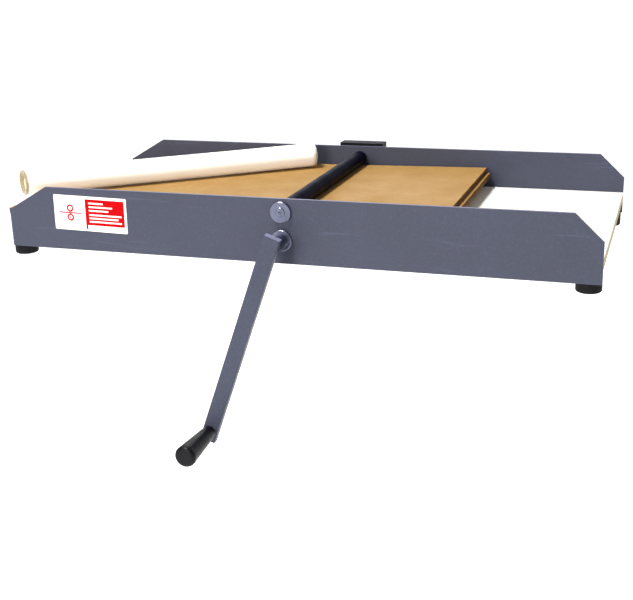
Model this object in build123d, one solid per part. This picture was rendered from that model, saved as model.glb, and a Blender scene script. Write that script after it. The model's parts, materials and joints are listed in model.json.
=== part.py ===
from build123d import *
import math
import os

# A tabletop slab roller: two geared rollers between steel side plates, turned by a crank.
# +X is the feed direction, -Y is the crank side and +Z is up.
# The origin is the centre of the plane that the feet stand on. All sizes are millimetres.

# Side plates
plate_length = 950.0
plate_height = 101.6
plate_thickness = 4.8
infeed_corner_run = 70.0
outfeed_corner_run = 42.0
corner_drop = 40.0
inner_width = 430.0

# Feet and tables
foot_drop = 17.0
foot_diameter = 38.0
infeed_foot_inset = 8.0
outfeed_foot_inset = 20.0
foot_side_gap = 0.8
foot_round = 3.0
foot_recess_diameter = 16.0
foot_recess_depth = 10.0
foot_washer_diameter = 14.0
foot_washer_thickness = 1.2
table_rise = 36.0
table_thickness = 16.0
table_side_gap = 1.0
table_roller_gap = 5.0
wood_screw_diameter = 4.8
wood_screw_bite = 11.0
screw_head_diameter = 9.0
screw_head_height = 2.6

# Welded supports under the tables
rail_size = 20.0
rail_wall = 2.0
rail_foot_gap = 3.0
nip_rail_offset = 48.0
ledge_width = 20.0
ledge_wall = 3.0
ledge_rail_gap = 1.0
ledge_screw_inset = 60.0

# Rollers, shafts and bearings
roller_diameter = 25.4
roller_wall = 3.0
roller_end_gap = 6.5
plug_length = 22.0
shaft_diameter = 16.0
nip_clearance = 0.3
lower_axis_rise = 37.2
running_clearance = 0.05
bearing_body_diameter = 22.0
bearing_flange_diameter = 33.0
bearing_flange_thickness = 5.0
bearing_inner_boss = 4.0
bearing_edge_break = 0.8
upper_shaft_nose = 1.5
centre_drill_diameter = 4.0
centre_drill_depth = 2.0
washer_edge_inset = 2.0
washer_thickness = 1.6

# Gears and their cover
gear_teeth = 30
gear_face = 12.0
gear_hub_diameter = 26.0
gear_hub_length = 6.0
gear_side_gap = 0.6
gear_backlash = 0.2
pressure_angle = 20.0
set_screw_diameter = 5.0
shaft_rear_nose = 1.0
cover_width = 82.0
cover_wall = 1.0
cover_inside_gap = 1.0
cover_rear_gap = 1.5
cover_bottom_rise = 6.0
cover_flange = 14.0
cover_flange_top_drop = 10.0
cover_screw_diameter = 4.0
cover_screw_inset = 14.0
cover_screw_bite = 3.6

# Crank
crank_angle = 20.0
crank_reach = 323.0
crank_width = 25.4
crank_depth = 12.7
crank_wall = 2.0
crank_cap_gap = 10.5
crank_tip_length = 17.0
crank_cap_thickness = 2.5
crank_hub_diameter = 22.0
crank_hub_length = 45.0
crank_hub_gap = 0.4
spindle_diameter = 10.0
spindle_head_diameter = 14.0
spindle_head_height = 1.5
spindle_washer_diameter = 20.0
grip_gap = 0.4
grip_diameter = 35.0
grip_inner_diameter = 22.0
grip_length = 95.0
grip_end_wall = 8.0
grip_round = 6.0

# Slab boards, canvas and label
board_thickness = 9.0
board_side_gap = 7.0
board_length = 721.0
board_overhang = 9.0
lower_board_lead = 6.0
board_tilt = 0.9
canvas_diameter = 46.0
canvas_length = 530.0
canvas_angle = 35.0
canvas_centre_x = -295.0
canvas_rear_gap = 14.0
canvas_gap = 0.3
label_width = 130.0
label_height = 57.0
label_thickness = 0.4
label_centre_x = -326.0
label_rise = 61.0
label_turn = 1.0

# Places that follow from the sizes above
half_length = plate_length / 2
half_width = inner_width / 2
axis_distance = roller_diameter + 2 * (board_thickness + nip_clearance)
plate_bottom = foot_drop
plate_top = plate_bottom + plate_height
table_top = plate_bottom + table_rise
table_bottom = table_top - table_thickness
lower_axis = plate_bottom + lower_axis_rise
upper_axis = lower_axis + axis_distance
nip_height = (lower_axis + upper_axis) / 2
roller_radius = roller_diameter / 2
shaft_radius = shaft_diameter / 2
front_face = -(half_width + plate_thickness)
rear_face = half_width + plate_thickness
roller_half = half_width - roller_end_gap
table_inner_end = roller_radius + table_roller_gap
foot_inset = max(infeed_foot_inset, outfeed_foot_inset)
end_rail_x = half_length - foot_inset - foot_diameter / 2 - rail_foot_gap - rail_size / 2
gear_front = rear_face + bearing_flange_thickness + gear_side_gap
gear_back = gear_front + gear_face
hub_back = gear_back + gear_hub_length
shaft_rear_end = hub_back + shaft_rear_nose
crank_back = front_face - bearing_flange_thickness - crank_hub_gap - crank_hub_length
crank_front = crank_back - crank_depth
washer_diameter = roller_diameter - 2 * washer_edge_inset
washer_middle = half_width - (bearing_inner_boss + roller_end_gap) / 2


def block(x0, x1, y0, y1, z0, z1):
    middle = Pos((x0 + x1) / 2, (y0 + y1) / 2, (z0 + z1) / 2)
    return middle * Box(abs(x1 - x0), abs(y1 - y0), abs(z1 - z0))


def rod(diameter, y0, y1, x, z):
    return Pos(x, (y0 + y1) / 2, z) * Rot(90, 0, 0) * Cylinder(diameter / 2, abs(y1 - y0))


def ring(outer, inner, y0, y1, x, z):
    return rod(outer, y0, y1, x, z) - rod(inner, y0, y1, x, z)


def post(diameter, x, y, z0, z1):
    return Pos(x, y, (z0 + z1) / 2) * Cylinder(diameter / 2, abs(z1 - z0))


def slab_xz(points, y0, y1):
    face = make_face(Polyline(*points, close=True))
    return extrude(Plane.XZ.offset(-max(y0, y1)) * face, amount=abs(y1 - y0))


def group(solids):
    return Compound(children=solids)


def save(name, shape):
    export_step(shape, f"parts/{name}.step")


def mirrored(shape):
    return mirror(shape, about=Plane.XZ)


# ---- side plates ----

def cover_screw_places():
    x = cover_width / 2 + cover_flange / 2
    low = plate_bottom + cover_bottom_rise + cover_screw_inset
    high = plate_top - cover_flange_top_drop - cover_screw_inset
    return [(side * x, z) for side in (-1, 1) for z in (low, high)]


def side_plate():
    outline = [
        (-half_length, plate_bottom),
        (half_length, plate_bottom),
        (half_length, plate_top - corner_drop),
        (half_length - outfeed_corner_run, plate_top),
        (-half_length + infeed_corner_run, plate_top),
        (-half_length, plate_top - corner_drop),
    ]
    plate = slab_xz(outline, half_width, rear_face)
    for z in (lower_axis, upper_axis):
        plate -= rod(bearing_body_diameter, half_width, rear_face, 0, z)
    return plate


def rear_plate():
    plate = side_plate()
    for x, z in cover_screw_places():
        plate -= rod(cover_screw_diameter, rear_face - cover_screw_bite, rear_face, x, z)
    return plate


# ---- supports and tables ----

def cross_rail(x):
    half = rail_size / 2
    hollow = half - rail_wall
    z = table_bottom - half
    rail = block(x - half, x + half, -half_width, half_width, z - half, z + half)
    return rail - block(x - hollow, x + hollow, -half_width, half_width, z - hollow, z + hollow)


def ledge_span():
    start = nip_rail_offset + rail_size / 2 + ledge_rail_gap
    end = end_rail_x - rail_size / 2 - ledge_rail_gap
    return start, end


def ledge_screw_xs():
    start, end = ledge_span()
    return start + ledge_screw_inset, end - ledge_screw_inset


def ledge_screw_y():
    return half_width - ledge_wall - (ledge_width - ledge_wall) / 2


def ledge(side):
    start, end = ledge_span()
    x0, x1 = side * start, side * end
    inner = half_width - ledge_width
    bottom = table_bottom - ledge_width
    angle = block(x0, x1, inner, half_width, table_bottom - ledge_wall, table_bottom)
    angle += block(x0, x1, half_width - ledge_wall, half_width, bottom, table_bottom)
    for x in ledge_screw_xs():
        angle -= post(wood_screw_diameter, side * x, ledge_screw_y(), table_bottom - ledge_wall, table_bottom)
    return angle


def table(side):
    edge = half_width - table_side_gap
    board = block(side * table_inner_end, side * half_length, -edge, edge, table_bottom, table_top)
    places = [(x, ledge_screw_y()) for x in ledge_screw_xs()] + [(foot_x(side), foot_y())]
    bite = table_bottom + wood_screw_bite
    for x, y in places:
        for front in (-1, 1):
            board -= post(wood_screw_diameter, side * x, front * y, table_bottom, bite)
    return board


def wood_screw(x, y, seat, tip):
    head = post(screw_head_diameter, x, y, seat - screw_head_height, seat)
    head = fillet(head.edges().sort_by(Axis.Z)[0], screw_head_height * 0.6)
    slot = screw_head_diameter * 0.16
    head -= block(
        x - screw_head_diameter / 2, x + screw_head_diameter / 2, y - slot / 2, y + slot / 2,
        seat - screw_head_height, seat - screw_head_height * 0.55,
    )
    return head + post(wood_screw_diameter, x, y, seat, tip)


def table_screws():
    seat = table_bottom - ledge_wall
    screws = []
    for side in (-1, 1):
        for front in (-1, 1):
            for x in ledge_screw_xs():
                place = side * x, front * ledge_screw_y()
                screws.append(wood_screw(*place, seat, table_bottom + wood_screw_bite))
    return group(screws)


# ---- feet ----

def foot_x(side):
    return half_length - (infeed_foot_inset if side < 0 else outfeed_foot_inset)


def foot_y():
    return half_width - foot_side_gap - foot_diameter / 2


def foot_places():
    return [(side * foot_x(side), front * foot_y()) for side in (-1, 1) for front in (-1, 1)]


def foot(x, y):
    rubber = post(foot_diameter, x, y, 0, table_bottom)
    rubber = fillet(rubber.edges().sort_by(Axis.Z)[0], foot_round)
    rubber -= post(foot_recess_diameter, x, y, 0, foot_recess_depth)
    return rubber - post(wood_screw_diameter, x, y, foot_recess_depth, table_bottom)


def foot_washer(x, y):
    low = foot_recess_depth - foot_washer_thickness
    disc = post(foot_washer_diameter, x, y, low, foot_recess_depth)
    return disc - post(wood_screw_diameter, x, y, low, foot_recess_depth)


def foot_screw(x, y):
    seat = foot_recess_depth - foot_washer_thickness
    return wood_screw(x, y, seat, table_bottom + wood_screw_bite)


# ---- bearings, rollers and shafts ----

def bearing(z):
    flange_face = rear_face + bearing_flange_thickness
    bush = rod(bearing_flange_diameter, rear_face, flange_face, 0, z)
    bush = chamfer(bush.edges().sort_by(Axis.Y)[-1], bearing_edge_break)
    bush += rod(bearing_body_diameter, half_width - bearing_inner_boss, rear_face, 0, z)
    bore = shaft_diameter + 2 * running_clearance
    return bush - rod(bore, half_width - bearing_inner_boss, flange_face, 0, z)


def thrust_washers():
    washers = []
    for z in (lower_axis, upper_axis):
        for side in (-1, 1):
            y0 = side * (washer_middle - washer_thickness / 2)
            y1 = side * (washer_middle + washer_thickness / 2)
            washers.append(ring(washer_diameter, shaft_diameter + 2 * running_clearance, y0, y1, 0, z))
    return group(washers)


def roller_tube(z):
    return ring(roller_diameter, roller_diameter - 2 * roller_wall, -roller_half, roller_half, 0, z)


def roller_plugs(z):
    outer = roller_diameter - 2 * roller_wall
    ends = [(-roller_half, -roller_half + plug_length), (roller_half - plug_length, roller_half)]
    return group([ring(outer, shaft_diameter, y0, y1, 0, z) for y0, y1 in ends])


def centre_drill(y, inward, z):
    cone = Cone(centre_drill_diameter / 2, 0.01, centre_drill_depth)
    return Pos(0, y + inward * centre_drill_depth / 2, z) * Rot(-90 * inward, 0, 0) * cone


def upper_shaft():
    nose = front_face - bearing_flange_thickness - upper_shaft_nose
    shaft = rod(shaft_diameter, nose, shaft_rear_end, 0, upper_axis)
    shaft = chamfer(shaft.edges().filter_by(GeomType.CIRCLE), 0.6)
    return shaft - centre_drill(nose, 1, upper_axis) - centre_drill(shaft_rear_end, -1, upper_axis)


def lower_shaft():
    shaft = rod(shaft_diameter, crank_front + crank_wall, shaft_rear_end, 0, lower_axis)
    shaft = chamfer(shaft.edges().sort_by(Axis.Y)[-1], 0.6)
    return shaft - centre_drill(shaft_rear_end, -1, lower_axis)


# ---- gears ----

def tooth_flank(module, steps=6):
    # One involute flank as (radius, angle from the tooth's middle), from the base circle to the tip.
    pitch_radius = gear_teeth * module / 2
    base_radius = pitch_radius * math.cos(math.radians(pressure_angle))
    tip_radius = pitch_radius + module
    half_tooth = (math.pi * module / 4 - gear_backlash / 4) / pitch_radius
    involute = math.tan(math.radians(pressure_angle)) - math.radians(pressure_angle)
    flank = []
    for i in range(steps + 1):
        radius = base_radius + (tip_radius - base_radius) * i / steps
        opening = math.acos(min(1.0, base_radius / radius))
        flank.append((radius, half_tooth + involute - (math.tan(opening) - opening)))
    return flank


def polar(radius, angle):
    return radius * math.cos(angle), radius * math.sin(angle)


def gear_profile(first_tooth):
    module = axis_distance / gear_teeth
    root_radius = axis_distance / 2 - 1.25 * module
    flank = tooth_flank(module)
    tip_radius = flank[-1][0]
    pitch = 2 * math.pi / gear_teeth
    edges = []
    for i in range(gear_teeth):
        middle = math.radians(first_tooth) + i * pitch
        rising = [polar(r, middle - a) for r, a in flank]
        falling = [polar(r, middle + a) for r, a in reversed(flank)]
        root_in = polar(root_radius, middle - flank[0][1])
        root_out = polar(root_radius, middle + flank[0][1])
        next_root = polar(root_radius, middle + pitch - flank[0][1])
        root_middle = polar(root_radius, middle + pitch / 2)
        edges.append(Line(root_in, rising[0]))
        edges.append(Spline(*rising))
        edges.append(ThreePointArc(rising[-1], polar(tip_radius, middle), falling[0]))
        edges.append(Spline(*falling))
        edges.append(Line(falling[-1], root_out))
        edges.append(ThreePointArc(root_out, root_middle, next_root))
    return make_face(Wire(edges))


def gear(z, first_tooth):
    teeth = extrude(Plane.XZ.offset(-gear_back) * gear_profile(first_tooth), amount=gear_face)
    body = Pos(0, 0, z) * teeth
    body += rod(gear_hub_diameter, gear_back, hub_back, 0, z)
    body -= rod(shaft_diameter, gear_front, hub_back, 0, z)
    y = gear_back + gear_hub_length / 2
    return body - post(set_screw_diameter, 0, y, z, z + gear_hub_diameter / 2)


def gear_set_screw(z):
    y = gear_back + gear_hub_length / 2
    low = z + shaft_radius + running_clearance
    high = z + gear_hub_diameter / 2
    screw = post(set_screw_diameter, 0, y, low, high)
    socket = extrude(RegularPolygon(set_screw_diameter * 0.26, 6), amount=2.0)
    return screw - Pos(0, y, high - 2.0) * socket


def gear_cover():
    half = cover_width / 2
    tip_radius = axis_distance / 2 + axis_distance / gear_teeth
    top = upper_axis + tip_radius + cover_inside_gap + cover_wall
    bottom = plate_bottom + cover_bottom_rise
    back = shaft_rear_end + cover_rear_gap + cover_wall
    cover = block(-half, half, rear_face, back, bottom, top)
    cover = chamfer(cover.faces().sort_by(Axis.Y)[-1].edges(), cover_wall)
    cover -= block(
        -half + cover_wall, half - cover_wall, rear_face, back - cover_wall,
        bottom + cover_wall, top - cover_wall,
    )
    cover += block(-half, half, rear_face, rear_face + cover_wall, plate_top, top)
    clear = bearing_flange_diameter + 2 * cover_inside_gap
    cover -= rod(clear, rear_face, rear_face + cover_wall, 0, upper_axis)
    flange_top = plate_top - cover_flange_top_drop
    for side in (-1, 1):
        x0, x1 = side * (half - cover_wall), side * (half + cover_flange)
        cover += block(x0, x1, rear_face, rear_face + cover_wall, bottom, flange_top)
    for x, z in cover_screw_places():
        cover -= rod(cover_screw_diameter, rear_face, rear_face + cover_wall, x, z)
    return cover


def cover_screws():
    screws = []
    seat = rear_face + cover_wall
    for x, z in cover_screw_places():
        head = rod(cover_screw_diameter * 1.9, seat, seat + screw_head_height, x, z)
        head = fillet(head.edges().sort_by(Axis.Y)[-1], screw_head_height * 0.6)
        slot = cover_screw_diameter * 0.3
        head -= block(
            x - cover_screw_diameter, x + cover_screw_diameter, seat + screw_head_height * 0.5,
            seat + screw_head_height, z - slot / 2, z + slot / 2,
        )
        screws.append(head + rod(cover_screw_diameter, rear_face - cover_screw_bite, seat, x, z))
    return group(screws)


# ---- crank: made hanging straight down from the lower axis, then swung to its rest angle ----

def swing(shape):
    pivot = Pos(0, 0, lower_axis)
    return pivot * Rot(0, crank_angle, 0) * pivot.inverse() * shape


def crank_ends():
    top_length = shaft_radius + crank_cap_gap + crank_cap_thickness
    return lower_axis + top_length, lower_axis - crank_reach - crank_tip_length


def crank_arm():
    top, bottom = crank_ends()
    top -= crank_cap_thickness
    bottom += crank_cap_thickness
    half = crank_width / 2
    hollow = half - crank_wall
    arm = block(-half, half, crank_front, crank_back, bottom, top)
    arm = fillet(arm.edges().filter_by(Axis.Z), crank_wall * 0.8)
    arm -= block(-hollow, hollow, crank_front + crank_wall, crank_back - crank_wall, bottom, top)
    arm -= rod(shaft_diameter, crank_back - crank_wall, crank_back, 0, lower_axis)
    return arm - rod(spindle_diameter, crank_front, crank_back, 0, lower_axis - crank_reach)


def crank_caps():
    top, bottom = crank_ends()
    half = crank_width / 2
    caps = []
    for z0, z1 in ((top - crank_cap_thickness, top), (bottom, bottom + crank_cap_thickness)):
        cap = block(-half, half, crank_front, crank_back, z0, z1)
        caps.append(swing(fillet(cap.edges().filter_by(Axis.Z), crank_wall * 0.8)))
    return group(caps)


def crank_hub():
    return ring(crank_hub_diameter, shaft_diameter, crank_back, crank_back + crank_hub_length, 0, lower_axis)


def grip_ends():
    inner = crank_front - washer_thickness - grip_gap
    return inner, inner - grip_length


def spindle_axis():
    return lower_axis - crank_reach


def grip_spindle():
    inner, outer = grip_ends()
    tip = outer + grip_end_wall + grip_gap
    seat = crank_back + washer_thickness
    head = rod(spindle_head_diameter, seat, seat + spindle_head_height, 0, spindle_axis())
    head = fillet(head.edges().sort_by(Axis.Y)[-1], spindle_head_height * 0.7)
    return head + rod(spindle_diameter, tip, seat, 0, spindle_axis())


def spindle_washers():
    washers = []
    for y in (crank_front - washer_thickness, crank_back):
        outer, inner = spindle_washer_diameter, spindle_diameter
        washers.append(swing(ring(outer, inner, y, y + washer_thickness, 0, spindle_axis())))
    return group(washers)


def crank_grip():
    inner, outer = grip_ends()
    taper = Cone(grip_diameter / 2, grip_inner_diameter / 2, grip_length)
    grip = Pos(0, (inner + outer) / 2, spindle_axis()) * Rot(-90, 0, 0) * taper
    grip = fillet(grip.edges().sort_by(Axis.Y)[0], grip_round)
    grip = fillet(grip.edges().sort_by(Axis.Y)[-1], 1.0)
    bore = spindle_diameter + 2 * running_clearance
    return grip - rod(bore, inner, outer + grip_end_wall, 0, spindle_axis())


# ---- boards, canvas and label ----

# The boards lie in a plane that passes through the nip and climbs gently in the feed direction.
board_plane = Pos(0, 0, nip_height) * Rot(0, -board_tilt, 0)


def slab_board(low, high, lead=0.0):
    start = -half_length - board_overhang + lead
    side = half_width - board_side_gap
    flat = block(start, start + board_length, -side, side, low, high)
    return board_plane * flat


def canvas_roll():
    rise = board_thickness + canvas_gap + canvas_diameter / 2
    turned = math.radians(canvas_angle)
    reach = canvas_length / 2 * math.sin(turned) + canvas_diameter / 2 * math.cos(turned)
    place = Pos(canvas_centre_x, half_width - canvas_rear_gap - reach, rise)
    lying = Rot(0, 0, canvas_angle) * Rot(0, 90, 0)
    return board_plane * place * lying * Cylinder(canvas_diameter / 2, canvas_length)


def label_plate():
    label = block(
        -label_width / 2, label_width / 2, front_face - label_thickness, front_face,
        -label_height / 2, label_height / 2,
    )
    label = fillet(label.edges().filter_by(Axis.Y), 2.0)
    return Pos(label_centre_x, 0, plate_bottom + label_rise) * Rot(0, label_turn, 0) * label


# ---- write every piece ----

os.makedirs("parts", exist_ok=True)

save("front_side_plate", mirrored(side_plate()))
save("rear_side_plate", rear_plate())
save("infeed_end_rail", cross_rail(-end_rail_x))
save("infeed_nip_rail", cross_rail(-nip_rail_offset))
save("outfeed_nip_rail", cross_rail(nip_rail_offset))
save("outfeed_end_rail", cross_rail(end_rail_x))
save("front_infeed_ledge", mirrored(ledge(-1)))
save("front_outfeed_ledge", mirrored(ledge(1)))
save("rear_infeed_ledge", ledge(-1))
save("rear_outfeed_ledge", ledge(1))
save("infeed_table", table(-1))
save("outfeed_table", table(1))
save("table_screws", table_screws())
save("rubber_feet", group([foot(x, y) for x, y in foot_places()]))
save("foot_washers", group([foot_washer(x, y) for x, y in foot_places()]))
save("foot_screws", group([foot_screw(x, y) for x, y in foot_places()]))
save("front_lower_bearing", mirrored(bearing(lower_axis)))
save("front_upper_bearing", mirrored(bearing(upper_axis)))
save("rear_lower_bearing", bearing(lower_axis))
save("rear_upper_bearing", bearing(upper_axis))
save("thrust_washers", thrust_washers())
save("label_plate", label_plate())
save("gear_cover", gear_cover())
save("gear_cover_screws", cover_screws())

save("upper_roller_tube", roller_tube(upper_axis))
save("upper_roller_plugs", roller_plugs(upper_axis))
save("upper_shaft", upper_shaft())
save("upper_gear", gear(upper_axis, 90 + 180 / gear_teeth))
save("upper_gear_set_screw", gear_set_screw(upper_axis))

save("lower_roller_tube", roller_tube(lower_axis))
save("lower_roller_plugs", roller_plugs(lower_axis))
save("lower_shaft", lower_shaft())
save("lower_gear", gear(lower_axis, 90))
save("lower_gear_set_screw", gear_set_screw(lower_axis))
save("crank_hub", swing(crank_hub()))
save("crank_arm", swing(crank_arm()))
save("crank_end_caps", crank_caps())
save("grip_spindle", swing(grip_spindle()))
save("spindle_washers", spindle_washers())

save("crank_grip", swing(crank_grip()))
save("upper_board", slab_board(0, board_thickness))
save("lower_board", slab_board(-board_thickness, 0, lower_board_lead))
save("canvas_roll", canvas_roll())
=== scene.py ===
import json
import math

import bmesh
import bpy
from mathutils import Matrix, Vector, noise


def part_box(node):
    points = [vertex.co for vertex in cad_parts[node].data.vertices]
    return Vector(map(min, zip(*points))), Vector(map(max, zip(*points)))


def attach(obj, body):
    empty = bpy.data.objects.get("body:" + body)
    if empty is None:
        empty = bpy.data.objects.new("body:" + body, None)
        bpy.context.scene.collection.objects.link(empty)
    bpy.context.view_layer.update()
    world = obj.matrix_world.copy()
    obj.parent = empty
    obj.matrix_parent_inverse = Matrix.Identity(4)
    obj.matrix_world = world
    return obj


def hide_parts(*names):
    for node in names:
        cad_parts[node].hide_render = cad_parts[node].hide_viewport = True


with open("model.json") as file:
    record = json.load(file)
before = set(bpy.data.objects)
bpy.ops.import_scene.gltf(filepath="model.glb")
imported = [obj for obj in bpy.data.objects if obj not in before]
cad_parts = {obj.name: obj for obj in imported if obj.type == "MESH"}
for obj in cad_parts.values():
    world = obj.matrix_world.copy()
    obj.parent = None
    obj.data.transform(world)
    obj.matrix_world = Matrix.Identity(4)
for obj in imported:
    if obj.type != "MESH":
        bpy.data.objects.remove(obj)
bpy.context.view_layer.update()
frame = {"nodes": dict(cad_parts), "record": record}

nodes = frame["nodes"]
mm = 0.001
bpy.context.scene.view_settings.view_transform = "Standard"
print("frame loaded,", len(nodes), "nodes")


def colour(code):
    # sRGB hex to the linear colour that the nodes use
    channels = [int(code[i:i + 2], 16) / 255 for i in (1, 3, 5)]
    linear = [c / 12.92 if c <= 0.04045 else ((c + 0.055) / 1.055) ** 2.4 for c in channels]
    return (*linear, 1.0)


def add(tree, kind, links=None, **settings):
    # one node: settings are its properties, links fills its inputs with sockets or plain values
    node = tree.nodes.new(kind)
    for key, value in settings.items():
        setattr(node, key, value)
    for key, value in (links or {}).items():
        if isinstance(value, bpy.types.NodeSocket):
            tree.links.new(value, node.inputs[key])
        else:
            node.inputs[key].default_value = value
    return node


def newMaterial(name, **surface):
    material = bpy.data.materials.new(name)
    material.use_nodes = True
    tree = material.node_tree
    shader = tree.nodes["Principled BSDF"]
    for key, value in surface.items():
        shader.inputs[key.replace("_", " ")].default_value = value
    place = add(tree, "ShaderNodeTexCoord").outputs["Object"]
    return material, tree, shader, place


def speckle(tree, place, size, detail=3.0, rough=0.55, stretch=(1, 1, 1)):
    # noise whose blobs are about `size` metres across, drawn out along axes with a stretch over 1
    scaled = add(tree, "ShaderNodeMapping", {"Vector": place, "Scale": [1 / s for s in stretch]})
    perBlob = 0.6  # noise cells to one blob
    return add(tree, "ShaderNodeTexNoise", {
        "Vector": scaled.outputs[0], "Scale": perBlob / size, "Detail": detail, "Roughness": rough,
    }).outputs[0]


def remap(tree, value, low, high, fromLow=0.3, fromHigh=0.7):
    return add(tree, "ShaderNodeMapRange", {
        "Value": value, "From Min": fromLow, "From Max": fromHigh, "To Min": low, "To Max": high,
    }).outputs[0]


def blendColours(tree, factor, first, second):
    return add(
        tree, "ShaderNodeMix", {0: factor, 6: first, 7: second}, data_type="RGBA").outputs[2]


def combine(tree, operation, first, second=0.0, clamp=False):
    links = {0: first, 1: second}
    return add(tree, "ShaderNodeMath", links, operation=operation, use_clamp=clamp).outputs[0]


def bumps(tree, shader, layers):
    # each layer is (height socket, depth in metres, strength); they build on one another
    normal = None
    for height, depth, strength in layers:
        links = {"Height": height, "Distance": depth, "Strength": strength}
        if normal:
            links["Normal"] = normal
        normal = add(tree, "ShaderNodeBump", links).outputs[0]
    tree.links.new(normal, shader.inputs["Normal"])


def facing(tree, axis, least=0.8):
    # 1 on faces nearly square to that axis, whichever way they point, 0 on the others; least is
    # the smallest cosine that counts
    normal = add(tree, "ShaderNodeNewGeometry").outputs["True Normal"]
    part = add(tree, "ShaderNodeSeparateXYZ", {0: normal}).outputs[axis]
    return combine(tree, "GREATER_THAN", combine(tree, "ABSOLUTE", part), least)


# the paint on the side plates and the crank
paint = {
    # the thin colours are worn paint and dust, and also the painted highlight on upward faces
    "plate": "#3C3F4E", "plateWornAndLit": "#7A7E9C", "plateDull": "#363945",
    "crank": "#3A3E4D", "crankWornAndLit": "#8E92B4", "crankDull": "#343846",
    "peel": 2.2 * mm,        # orange peel of a sprayed coat
    "patch": 90 * mm,        # slow change of tone across a plate
    "scuff": 7 * mm,         # handling scuffs, long ones run with the plate
    "fine": 0.9 * mm,        # specks of dust in the coat
}


def sprayedEnamel(name, base, wornAndLit, dull, longAxis):
    # Sprayed machine enamel on steel: satin, a fine orange peel, slight clouds of tone and paler
    # scuffed streaks, so the eye reads thick paint on plain steel; upward faces get a painted
    # highlight.
    material, tree, shader, place = newMaterial(
        name, Metallic=0.0, IOR=1.5, Specular_IOR_Level=0.22)
    clouds = speckle(tree, place, paint["patch"], 2.0)
    streaks = speckle(tree, place, paint["scuff"], 5.0, 0.65, stretch=longAxis)
    fine = speckle(tree, place, paint["fine"], 2.0)
    cloudy = blendColours(tree, remap(tree, clouds, 0.0, 0.55), colour(base), colour(dull))
    scuffed = remap(tree, streaks, 0.0, 0.3, 0.62, 0.85)
    worn = blendColours(tree, scuffed, cloudy, colour(wornAndLit))
    dusty = blendColours(tree, remap(tree, fine, 0.0, 0.12, 0.55, 0.75), worn, colour(wornAndLit))
    # upward faces are blended to the thin colour: a painted highlight of the light from above
    normal = add(tree, "ShaderNodeNewGeometry").outputs["True Normal"]
    up = add(tree, "ShaderNodeSeparateXYZ", {0: normal}).outputs[2]
    paintedTopHighlight = remap(tree, up, 0.0, 0.6, 0.7, 0.95)
    dustyWithTopHighlight = blendColours(tree, paintedTopHighlight, dusty, colour(wornAndLit))
    tree.links.new(dustyWithTopHighlight, shader.inputs["Base Color"])
    scuffRough = remap(tree, streaks, 0.0, 0.14, 0.5, 0.8)
    rough = combine(tree, "ADD", remap(tree, clouds, 0.36, 0.46), scuffRough)
    tree.links.new(rough, shader.inputs["Roughness"])
    peel = speckle(tree, place, paint["peel"], 1.0)
    bumps(tree, shader, [(peel, 0.06 * mm, 0.5), (streaks, 0.04 * mm, 0.35)])
    return material


plateEnamel = sprayedEnamel(
    "sprayed_enamel_on_flat_bar",
    paint["plate"], paint["plateWornAndLit"], paint["plateDull"], (14, 4, 1))
crankEnamel = sprayedEnamel(
    "sprayed_enamel_on_crank_tube",
    paint["crank"], paint["crankWornAndLit"], paint["crankDull"], (2, 2, 8))


def blackEnamel():
    # Baked black enamel on thin pressed sheet: a low sheen, a little ripple in the sheet and dust.
    material, tree, shader, place = newMaterial(
        "baked_black_enamel_on_sheet", Metallic=0.0, IOR=1.5, Specular_IOR_Level=0.1)
    ripple = speckle(tree, place, 22 * mm, 1.5)
    peel = speckle(tree, place, 1.6 * mm, 1.0)
    dust = speckle(tree, place, 6 * mm, 4.0, 0.7)
    dusty = remap(tree, dust, 0.0, 0.5, 0.55, 0.8)
    tone = blendColours(tree, dusty, colour("#0A0B0F"), colour("#1A1B20"))
    tree.links.new(tone, shader.inputs["Base Color"])
    tree.links.new(remap(tree, dust, 0.45, 0.62), shader.inputs["Roughness"])
    bumps(tree, shader, [(ripple, 0.4 * mm, 0.4), (peel, 0.04 * mm, 0.4)])
    return material


def blackedRoller():
    # Steel tube with a blue-black coat: hoops rubbed smoother by the boards, faint turning lines
    # that are drawn coarser than real so that they show.
    material, tree, shader, place = newMaterial(
        "black_coated_turned_tube", Metallic=0.0, IOR=1.5, Specular_IOR_Level=0.03)
    hoops = speckle(tree, place, 1.2 * mm, 2.0, 0.6, stretch=(40, 1, 40))
    bands = speckle(tree, place, 26 * mm, 2.0, 0.5, stretch=(20, 1, 20))
    scuffs = speckle(tree, place, 4 * mm, 5.0, 0.7, stretch=(1, 3, 1))
    rubbed = blendColours(tree, remap(tree, bands, 0.0, 0.45), colour("#010214"), colour("#04061C"))
    tone = blendColours(tree, remap(tree, scuffs, 0.0, 0.3, 0.62, 0.85), rubbed, colour("#14182E"))
    tree.links.new(tone, shader.inputs["Base Color"])
    tree.links.new(remap(tree, bands, 0.38, 0.52), shader.inputs["Roughness"])
    bumps(tree, shader, [(hoops, 0.03 * mm, 0.5), (scuffs, 0.03 * mm, 0.3)])
    return material


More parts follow.
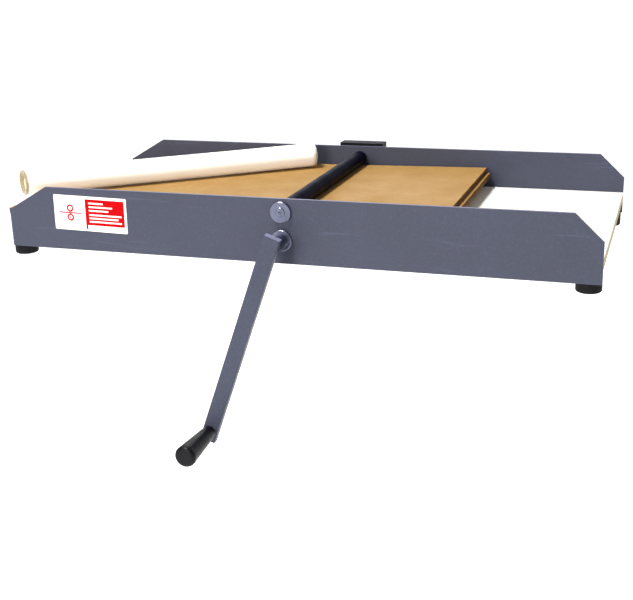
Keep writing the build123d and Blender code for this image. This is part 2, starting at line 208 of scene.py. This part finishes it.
def turnedSteel():
    # Steel faced and turned in a lathe: rings about the shaft axis, drawn coarser than real so
    # that they show, and fingerprint-dull patches.
    material, tree, shader, place = newMaterial("lathe_turned_steel", Metallic=1.0)
    axes = add(tree, "ShaderNodeSeparateXYZ", {0: place})
    away = []
    for node in ("lower_shaft", "upper_shaft"):
        low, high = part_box(node)
        middle = (low.z + high.z) / 2
        dz = combine(tree, "SUBTRACT", axes.outputs[2], middle)
        across, rise = combine(tree, "POWER", axes.outputs[0], 2), combine(tree, "POWER", dz, 2)
        away.append(combine(tree, "SQRT", combine(tree, "ADD", across, rise)))
    radius = combine(tree, "MINIMUM", *away)  # from the nearer shaft's axis
    ringPlace = add(tree, "ShaderNodeCombineXYZ", {0: radius, 1: axes.outputs[1]}).outputs[0]
    rings = speckle(tree, ringPlace, 0.7 * mm, 3.0, 0.7)
    patches = speckle(tree, place, 9 * mm, 4.0, 0.6)
    tone = blendColours(tree, remap(tree, rings, 0.0, 1.0), colour("#474B5A"), colour("#80849A"))
    aged = blendColours(tree, remap(tree, patches, 0.0, 0.45, 0.5, 0.8), tone, colour("#383A44"))
    tree.links.new(aged, shader.inputs["Base Color"])
    rough = combine(tree, "ADD", remap(tree, rings, 0.2, 0.3), remap(tree, patches, 0.0, 0.18))
    tree.links.new(rough, shader.inputs["Roughness"])
    bumps(tree, shader, [(rings, 0.03 * mm, 0.6), (patches, 0.02 * mm, 0.3)])
    return material


def gearSteel():
    # Cut gear steel under a film of oil: grey with cutter marks, drawn coarser than real so that
    # they show, and brown-black oil in patches.
    material, tree, shader, place = newMaterial("oiled_cut_gear_steel", Metallic=1.0)
    cut = speckle(tree, place, 0.8 * mm, 3.0, 0.6, stretch=(1, 12, 1))
    oil = speckle(tree, place, 6 * mm, 4.0, 0.6)
    tone = blendColours(tree, remap(tree, cut, 0.0, 1.0), colour("#7C7F84"), colour("#A2A5A9"))
    oiled = blendColours(tree, remap(tree, oil, 0.0, 0.8, 0.45, 0.65), tone, colour("#3A332A"))
    tree.links.new(oiled, shader.inputs["Base Color"])
    tree.links.new(remap(tree, oil, 0.42, 0.2), shader.inputs["Roughness"])
    bumps(tree, shader, [(cut, 0.05 * mm, 0.5)])
    return material


def zincPlate():
    # Zinc plate on screws and washers: pale, with a faint spangle drawn coarser than real so that
    # it shows, and a dull bloom.
    material, tree, shader, place = newMaterial("zinc_plated_steel", Metallic=1.0)
    spangle = add(tree, "ShaderNodeTexVoronoi", {"Vector": place, "Scale": 1 / (1.6 * mm)})
    grey = add(tree, "ShaderNodeRGBToBW", {0: spangle.outputs["Color"]}).outputs[0]
    bloom = speckle(tree, place, 3 * mm, 4.0, 0.6)
    tone = blendColours(tree, grey, colour("#A9ABA8"), colour("#CBCCC8"))
    dulled = blendColours(tree, remap(tree, bloom, 0.0, 0.5, 0.5, 0.8), tone, colour("#8C8D88"))
    tree.links.new(dulled, shader.inputs["Base Color"])
    tree.links.new(remap(tree, bloom, 0.28, 0.5), shader.inputs["Roughness"])
    bumps(tree, shader, [(grey, 0.01 * mm, 0.4), (bloom, 0.03 * mm, 0.3)])
    return material


def mouldedRubber(name, base, dusty, rough, grain):
    # Moulded rubber: very dark, paler where dust and handling have dulled it, with a mould grain
    # that is drawn coarser than real so that it shows.
    material, tree, shader, place = newMaterial(
        name, Metallic=0.0, IOR=1.52, Specular_IOR_Level=0.16)
    grainy = speckle(tree, place, grain, 2.0, 0.6)
    worn = speckle(tree, place, 9 * mm, 4.0, 0.65)
    dulled = remap(tree, worn, 0.0, 0.6, 0.45, 0.75)
    tone = blendColours(tree, dulled, colour(base), colour(dusty))
    tree.links.new(tone, shader.inputs["Base Color"])
    wornRough, grainRough = remap(tree, worn, rough, rough + 0.14), remap(tree, grainy, -0.04, 0.04)
    tree.links.new(combine(tree, "ADD", wornRough, grainRough), shader.inputs["Roughness"])
    bumps(tree, shader, [(grainy, 0.06 * mm, 0.5), (worn, 0.05 * mm, 0.3)])
    return material


# the two loose pressing boards
board = {
    "tan": "#9C7A48", "tanPale": "#A68450", "tanDeep": "#8A6736", "fibre": "#6A4A22",
    "edge": "#7A5226", "edgeDeep": "#2E1E0A",
    "fibreSize": 1.6 * mm,   # fibre bundles are finer, drawn this coarse so that they show
    "mottle": 38 * mm, "fleck": 2.4 * mm,
    "sawLine": 0.9 * mm,     # lines of fibre that the saw leaves along an edge
}


def hardboardFace():
    # Tempered hardboard: pressed wood fibre, smooth tan face with fine dark fibres and slow
    # mottling, sawn edges darker with lines of fibre that run along them.
    material, tree, shader, place = newMaterial(
        "tempered_hardboard", Metallic=0.0, IOR=1.46, Specular_IOR_Level=0.12)
    mottle = speckle(tree, place, board["mottle"], 3.0, 0.55)
    fibres = speckle(tree, place, board["fibreSize"], 4.0, 0.65, stretch=(3, 1, 1))
    flecks = speckle(tree, place, board["fleck"], 2.0, 0.5, stretch=(2, 1, 1))
    clouds = remap(tree, mottle, 0.0, 1.0)
    tone = blendColours(tree, clouds, colour(board["tanPale"]), colour(board["tan"]))
    bundles = remap(tree, fibres, 0.0, 0.55, 0.45, 0.75)
    deep = blendColours(tree, bundles, tone, colour(board["tanDeep"]))
    darkFlecks = remap(tree, flecks, 0.0, 0.5, 0.66, 0.8)
    flecked = blendColours(tree, darkFlecks, deep, colour(board["fibre"]))
    layers = speckle(tree, place, board["sawLine"], 3.0, 0.7, stretch=(14, 14, 1))
    lines = remap(tree, layers, 0.0, 1.0)
    sawn = blendColours(tree, lines, colour(board["edge"]), colour(board["edgeDeep"]))
    up = facing(tree, 2)
    tree.links.new(blendColours(tree, up, sawn, flecked), shader.inputs["Base Color"])
    faceRough = remap(tree, mottle, 0.5, 0.64)
    rough = add(tree, "ShaderNodeMix", {0: up, 2: 0.8, 3: faceRough}).outputs[0]
    tree.links.new(rough, shader.inputs["Roughness"])
    bumps(tree, shader, [(fibres, 0.05 * mm, 0.4), (layers, 0.15 * mm, 0.3)])
    return material


# the two white tables
laminate = {
    "face": "#FBFBF9", "faceShade": "#F3F3EF",
    "core": "#BFAE8C", "chipLight": "#D3C4A2", "chipDark": "#8E7248",
    "chip": 2.6 * mm, "chipFlat": (0.4, 0.4, 1),    # chips lie flat, so they are longer than high
    "smudge": 60 * mm, "pore": 0.8 * mm,            # real pores are finer, drawn so that they show
}


def laminatedChipboard():
    # White melamine-faced chipboard: almost plain bright faces with a soft sheen, raw edges of
    # chips.
    material, tree, shader, place = newMaterial(
        "white_melamine_on_chipboard", Metallic=0.0, IOR=1.5)
    smudge = speckle(tree, place, laminate["smudge"], 3.0, 0.5)
    pore = speckle(tree, place, laminate["pore"], 2.0, 0.5)
    smudged = remap(tree, smudge, 0.0, 0.7)
    face = blendColours(tree, smudged, colour(laminate["face"]), colour(laminate["faceShade"]))
    lying = add(tree, "ShaderNodeMapping", {"Vector": place, "Scale": laminate["chipFlat"]})
    chips = add(tree, "ShaderNodeTexVoronoi", {
        "Vector": lying.outputs[0], "Scale": 1 / laminate["chip"],
    })
    chipTone = add(tree, "ShaderNodeRGBToBW", {0: chips.outputs["Color"]}).outputs[0]
    mixed = remap(tree, chipTone, 0.0, 0.8, 0.2, 0.8)
    core = blendColours(tree, mixed, colour(laminate["core"]), colour(laminate["chipLight"]))
    gaps = remap(tree, chips.outputs["Distance"], 0.0, 0.6, 0.45, 0.8)
    raw = blendColours(tree, gaps, core, colour(laminate["chipDark"]))
    up = facing(tree, 2)
    tree.links.new(blendColours(tree, up, raw, face), shader.inputs["Base Color"])
    faceRough = remap(tree, smudge, 0.3, 0.42)
    rough = add(tree, "ShaderNodeMix", {0: up, 2: 0.85, 3: faceRough}).outputs[0]
    tree.links.new(rough, shader.inputs["Roughness"])
    depth = add(tree, "ShaderNodeMix", {0: up, 2: chipTone, 3: 0.5}).outputs[0]
    bumps(tree, shader, [(depth, 0.4 * mm, 0.6), (pore, 0.02 * mm, 0.3)])
    return material


# the label: plain panels, pale bars and a drawing of two rollers, with no lettering
label = {
    "white": "#EFE9EA", "whiteFaded": "#EBE2E4", "red": "#B00006", "deepRed": "#9E0006",
    "turn": 1.0,                                  # degrees, as the plate is turned
    # left, right, bottom and top in mm from the label's middle
    "bar": (-8.5, -5.0, -25.5, 24.0), "panel": (-5.0, 61.0, -18.5, 24.0),
    "sheet": (-56, -16, -1.1, 1.1),
    # pale stripes in the panel: left, right and height of the middle
    "stripes": [
        (-2, 24, 17.5), (-2, 40, 11.5), (-2, 33, 5.5),
        (-2, 56, -1.5), (-2, 50, -7.0), (-2, 56, -12.5),
    ],
    "stripeHalf": 1.3, "stripePale": 0.86,
    "discs": [(-36, 7.5), (-36, -7.5)], "discRadius": 6.2, "ringWidth": 3.0, "dotRadius": 1.4,
}


def printedLabel():
    # Printed vinyl: flat clean colour under a smooth film, slight lift and waves, a little fading.
    material, tree, shader, place = newMaterial(
        "printed_vinyl_label", Metallic=0.0, IOR=1.49, Specular_IOR_Level=0.06)
    low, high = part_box("label_plate")
    middle = (low + high) / 2
    shift = add(
        tree, "ShaderNodeVectorMath", {0: place, 1: tuple(middle)}, operation="SUBTRACT").outputs[0]
    turned = add(tree, "ShaderNodeVectorRotate", {
        "Vector": shift, "Axis": (0, 1, 0), "Angle": -math.radians(label["turn"]),
    }).outputs[0]
    axes = add(tree, "ShaderNodeSeparateXYZ", {0: turned})
    across, rise = axes.outputs[0], axes.outputs[2]

    def band(value, low, high):
        inside = combine(tree, "GREATER_THAN", value, low * mm)
        return combine(tree, "MULTIPLY", inside, combine(tree, "LESS_THAN", value, high * mm))

    def panel(left, right, bottom, top):
        return combine(tree, "MULTIPLY", band(across, left, right), band(rise, bottom, top))

    fade = speckle(tree, place, 14 * mm, 3.0, 0.6)
    whiteFade, redFade = remap(tree, fade, 0.0, 0.5), remap(tree, fade, 0.0, 0.6)
    white = blendColours(tree, whiteFade, colour(label["white"]), colour(label["whiteFaded"]))
    red = blendColours(tree, redFade, colour(label["red"]), colour(label["deepRed"]))
    marks = panel(*label["panel"])
    for left, right, height in label["stripes"]:
        stripe = panel(left, right, height - label["stripeHalf"], height + label["stripeHalf"])
        pale = combine(tree, "MULTIPLY", stripe, label["stripePale"])
        marks = combine(tree, "SUBTRACT", marks, pale, clamp=True)
    marks = combine(tree, "MAXIMUM", marks, panel(*label["bar"]))
    radius = label["discRadius"]
    for x, z in label["discs"]:
        dx = combine(tree, "POWER", combine(tree, "SUBTRACT", across, x * mm), 2)
        dz = combine(tree, "POWER", combine(tree, "SUBTRACT", rise, z * mm), 2)
        away = combine(tree, "SQRT", combine(tree, "ADD", dx, dz))
        marks = combine(tree, "MAXIMUM", marks, band(away, radius - label["ringWidth"], radius))
        marks = combine(tree, "MAXIMUM", marks, band(away, -1, label["dotRadius"]))
    marks = combine(tree, "MAXIMUM", marks, panel(*label["sheet"]))
    printed = blendColours(tree, marks, white, red)
    tree.links.new(printed, shader.inputs["Base Color"])
    tree.links.new(remap(tree, fade, 0.26, 0.4), shader.inputs["Roughness"])
    wave = speckle(tree, place, 18 * mm, 1.5, 0.5)
    bumps(tree, shader, [(wave, 0.25 * mm, 0.4), (marks, 0.02 * mm, 0.2)])
    return material


# the rolled-up canvas on the upper board
canvas = {
    "length": 530 * mm, "outerRadius": 22.4 * mm, "innerRadius": 15.0 * mm,
    "thickness": 1.1 * mm, "pitch": 1.5 * mm,  # a loose roll, so layers stand apart a little
    "outerEdge": 315.0,  # degrees round the roll: tucked down behind
    # degrees out of square at the left end, and how far from the middle that starts, as a share
    "skew": 12.0, "skewFrom": 0.1,
    "angle": 35.0, "tilt": 0.9,  # degrees: turned on the boards, climbing with them
    "slip": 2.6 * mm, "slipRate": 5.0,  # how unevenly the layers end
    "wobble": 0.45 * mm, "wobbleRate": 1.3, "wobbleAlong": 3.0,
    "wobbleSeed": (0, 0, 7), "slipSeed": 0.5, "slipApart": 3.0,  # which part of the noise is read
    # droop of the free inner edge into the hollow, less in the middle of the roll than at its ends
    "curl": 4 * mm, "curlShare": 0.16, "curlPower": 1.5,
    "curlMiddle": 0.35, "curlEnds": 1.3,
    "stepsAlong": 60, "stepsPerTurn": 56,
    "white": "#FFFEFB", "shade": "#FBF7EE", "raw": "#A48A4E", "rawDark": "#5C4820",
    # the left end is tan up to the first distance in from it, and not at all past the second
    "tanEdge": (1.5 * mm, 4.5 * mm), "ragged": 2 * mm,
    "weaveShade": 0.22, "slub": 5 * mm, "stain": 45 * mm,
    "thread": 2.4 * mm,  # real threads are about 0.8 mm apart, drawn coarser so that they show
}


def cottonCanvas():
    # Plain-weave cotton canvas: matt and warm white, crossing threads with slubs, a soft bloom
    # from the fuzz, and the left end tinted tan.
    material, tree, shader, place = newMaterial(
        "plain_weave_cotton_canvas", Metallic=0.0, Sheen_Weight=0.8, Sheen_Roughness=0.6)
    cloth = add(tree, "ShaderNodeUVMap", uv_map="clothMetres").outputs[0]
    axes = add(tree, "ShaderNodeSeparateXYZ", {0: cloth})
    wrap, turns = axes.outputs[0], axes.outputs[1]
    turn = 2 * math.pi / canvas["thread"]
    warp = combine(tree, "SINE", combine(tree, "MULTIPLY", wrap, turn))
    weft = combine(tree, "SINE", combine(tree, "MULTIPLY", turns, turn))
    weave = remap(tree, combine(tree, "MULTIPLY", warp, weft), 0.0, 1.0, -1.0, 1.0)
    slubs = speckle(tree, cloth, canvas["slub"], 4.0, 0.6, stretch=(6, 1, 1))
    stains = speckle(tree, place, canvas["stain"], 3.0, 0.55)
    shade = colour(canvas["shade"])
    body = blendColours(tree, remap(tree, stains, 0.0, 0.8), colour(canvas["white"]), shade)
    woven = blendColours(tree, combine(tree, "MULTIPLY", weave, canvas["weaveShade"]), body, shade)
    edgeAway = combine(tree, "ABSOLUTE", combine(tree, "SUBTRACT", wrap, canvas["length"] / 2))
    ragged = combine(tree, "ADD", edgeAway, combine(tree, "MULTIPLY", slubs, canvas["ragged"]))
    outer, inner = (canvas["length"] / 2 - inset for inset in canvas["tanEdge"])
    edge = remap(tree, ragged, 0.0, 1.0, inner, outer)
    raw = blendColours(tree, slubs, colour(canvas["raw"]), colour(canvas["rawDark"]))
    trimmed = combine(tree, "GREATER_THAN", wrap, canvas["length"] / 2)
    raw = blendColours(tree, trimmed, raw, shade)
    tree.links.new(blendColours(tree, edge, woven, raw), shader.inputs["Base Color"])
    tree.links.new(remap(tree, slubs, 0.84, 0.98), shader.inputs["Roughness"])
    bumps(tree, shader, [(weave, 0.25 * mm, 0.5), (slubs, 0.3 * mm, 0.4)])
    return material


def spiralLength():
    turns = (canvas["outerRadius"] - canvas["innerRadius"]) / canvas["pitch"]
    return turns, math.pi * turns * (canvas["outerRadius"] + canvas["innerRadius"])


def canvasRoll():
    turns, clothLength = spiralLength()
    rows = int(turns * canvas["stepsPerTurn"])
    mesh = bmesh.new()
    bmesh.ops.create_grid(mesh, x_segments=canvas["stepsAlong"], y_segments=rows, size=0.5)
    uv = mesh.loops.layers.uv.new("clothMetres")
    for face in mesh.faces:
        for loop in face.loops:
            x, y, _ = loop.vert.co
            loop[uv].uv = ((x + 0.5) * canvas["length"], (y + 0.5) * clothLength)
    low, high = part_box("canvas_roll")
    centre = (low + high) / 2
    for vert in mesh.verts:
        along, wound = vert.co.x, vert.co.y + 0.5
        # even steps along the cloth, so radius squared grows evenly
        inner, outer = canvas["innerRadius"], canvas["outerRadius"] - canvas["thickness"]
        radius = math.sqrt(inner ** 2 + wound * (outer ** 2 - inner ** 2))
        inward = 2 * math.pi * turns * (outer - radius) / (outer - inner)
        angle = math.radians(canvas["outerEdge"]) - inward
        place = Vector((along * canvas["wobbleAlong"], math.cos(angle), math.sin(angle)))
        place = place * canvas["wobbleRate"] + Vector(canvas["wobbleSeed"])
        radius += canvas["wobble"] * noise.noise(place)
        # the loose inner edge sags into the hollow
        loose = max(0.0, 1 - wound / canvas["curlShare"]) ** canvas["curlPower"]
        radius -= loose * canvas["curl"] * (canvas["curlMiddle"] + canvas["curlEnds"] * abs(along))
        end = math.copysign(canvas["slipApart"], along)
        end = Vector((wound * canvas["slipRate"], end, canvas["slipSeed"]))
        slip = canvas["slip"] * noise.noise(end)
        x = along * (canvas["length"] - 2 * canvas["slip"]) + slip * abs(along) * 2
        # the left end runs out further behind than in front
        skewed = max(0.0, -along - canvas["skewFrom"]) / (0.5 - canvas["skewFrom"])
        x -= skewed * radius * math.cos(angle) * math.tan(math.radians(canvas["skew"]))
        vert.co = (x, radius * math.cos(angle), radius * math.sin(angle))
    bmesh.ops.recalc_face_normals(mesh, faces=mesh.faces)
    climb = Matrix.Rotation(-math.radians(canvas["tilt"]), 4, "Y")
    turn = Matrix.Rotation(math.radians(canvas["angle"]), 4, "Z")
    bmesh.ops.transform(mesh, matrix=Matrix.Translation(centre) @ (climb @ turn), verts=mesh.verts)
    data = bpy.data.meshes.new("canvas_sheet")
    mesh.to_mesh(data)
    mesh.free()
    for polygon in data.polygons:
        polygon.use_smooth = True
    roll = bpy.data.objects.new("canvas_sheet", data)
    bpy.context.scene.collection.objects.link(roll)
    wall = roll.modifiers.new("clothThickness", "SOLIDIFY")
    wall.thickness = canvas["thickness"]
    wall.offset = 0.0
    data.materials.append(cottonCanvas())
    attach(roll, "canvas")
    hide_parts("canvas_roll")
    print("canvas rolled from", round(canvas["length"], 3), "by", round(clothLength, 3), "m")


# which finish each of the record's material slots gets
finishes = {
    "grey_paint": plateEnamel,
    "crank_paint": crankEnamel,
    "white_laminate_board": laminatedChipboard(),
    "hardboard": hardboardFace(),
    "black_roller": blackedRoller(),
    "bright_steel": turnedSteel(),
    "gear_steel": gearSteel(),
    "zinc_steel": zincPlate(),
    "black_rubber": mouldedRubber("moulded_foot_rubber", "#08080C", "#18181C", 0.62, 1.2 * mm),
    "black_grip": mouldedRubber("smooth_grip_rubber", "#020206", "#0A0A14", 0.36, 1.6 * mm),
    "black_enamel": blackEnamel(),
    "printed_label": printedLabel(),
}

canvasRoll()
finished = 0
for part in frame["record"]["subparts"]:
    node, slot = nodes[part["node"]], part["material_slot"]
    if slot in finishes:
        node.data.materials.clear()
        node.data.materials.append(finishes[slot])
        finished += 1
print("finishes given to", finished, "nodes")


# floor, sky and lights, in metres and watts
studio = {
    "floorDrop": 1.2, "floorSize": 140.0, "floorGlow": 0.66,
    "sky": 0.36, "skyRise": 0.4,
    "key": {"place": (-1.1, -1.5, 4.0), "size": 0.9, "power": 270.0, "tint": "#FFFBF4"},
    "front": {"place": (-0.9, -4.2, 1.3), "size": 1.8, "power": 110.0, "tint": "#FFFFFF"},
    "back": {"place": (-1.6, 4.2, 1.7), "size": 2.4, "power": 26.0, "tint": "#F3F5FF"},
}


def floorPlane():
    mesh = bmesh.new()
    bmesh.ops.create_grid(mesh, x_segments=1, y_segments=1, size=studio["floorSize"] / 2)
    bmesh.ops.translate(mesh, vec=(0, 0, -studio["floorDrop"]), verts=mesh.verts)
    data = bpy.data.meshes.new("studio_floor")
    mesh.to_mesh(data)
    mesh.free()
    floor = bpy.data.objects.new("studio_floor", data)
    bpy.context.scene.collection.objects.link(floor)
    material, tree, shader, place = newMaterial("pale_paper_floor", Roughness=0.9)
    grain = speckle(tree, place, 200 * mm, 3.0)
    tone = blendColours(tree, remap(tree, grain, 0.0, 1.0), colour("#FFFFFF"), colour("#FCFCFC"))
    tree.links.new(tone, shader.inputs["Base Color"])
    tree.links.new(tone, shader.inputs["Emission Color"])
    shader.inputs["Emission Strength"].default_value = studio["floorGlow"]
    data.materials.append(material)


def softbox(name, place, size, power, tint):
    light = bpy.data.lights.new(name, "AREA")
    light.shape, light.size, light.energy = "DISK", size, power
    light.color = colour(tint)[:3]
    lamp = bpy.data.objects.new(name, light)
    lamp.location = place
    lamp.rotation_euler = (-Vector(place)).to_track_quat("-Z", "Y").to_euler()
    bpy.context.scene.collection.objects.link(lamp)


def sky():
    world = bpy.data.worlds.new("white_studio")
    world.use_nodes = True
    tree = world.node_tree
    back = tree.nodes["Background"]
    back.inputs["Color"].default_value = colour("#FFFFFF")
    # white at the horizon, so that the floor runs into it, and dimmer overhead
    direction = add(tree, "ShaderNodeTexCoord").outputs["Generated"]
    rise = add(tree, "ShaderNodeSeparateXYZ", {0: direction}).outputs[2]
    strength = remap(tree, rise, 1.0, studio["sky"], 0.0, studio["skyRise"])
    tree.links.new(strength, back.inputs["Strength"])
    bpy.context.scene.world = world


view = {
    "place": (0.5671, -1.7335, 0.4917), "turn": 18.769, "lower": 18.314, "roll": -1.605,
    "lens": 62.56, "sensor": 36.0, "clipEnd": 200.0,
}


def camera():
    turn, lower, roll = (math.radians(view[k]) for k in ("turn", "lower", "roll"))
    flat = math.cos(lower)
    ahead = Vector((-math.sin(turn) * flat, math.cos(turn) * flat, -math.sin(lower)))
    level = Vector((math.cos(turn), math.sin(turn), 0))
    across = Matrix.Rotation(-roll, 3, ahead) @ level
    above = across.cross(ahead)
    pose = Matrix((across, above, -ahead)).transposed().to_4x4()
    pose.translation = view["place"]
    data = bpy.data.cameras.new("main_camera")
    data.lens, data.sensor_width = view["lens"], view["sensor"]
    data.clip_end = view["clipEnd"]
    eye = bpy.data.objects.new("main_camera", data)
    eye.matrix_world = pose
    bpy.context.scene.collection.objects.link(eye)
    bpy.context.scene.camera = eye


floorPlane()
for name in ("key", "front", "back"):
    softbox(name, **studio[name])
sky()
camera()
print("floor, lights and camera set")

print("scene ready")
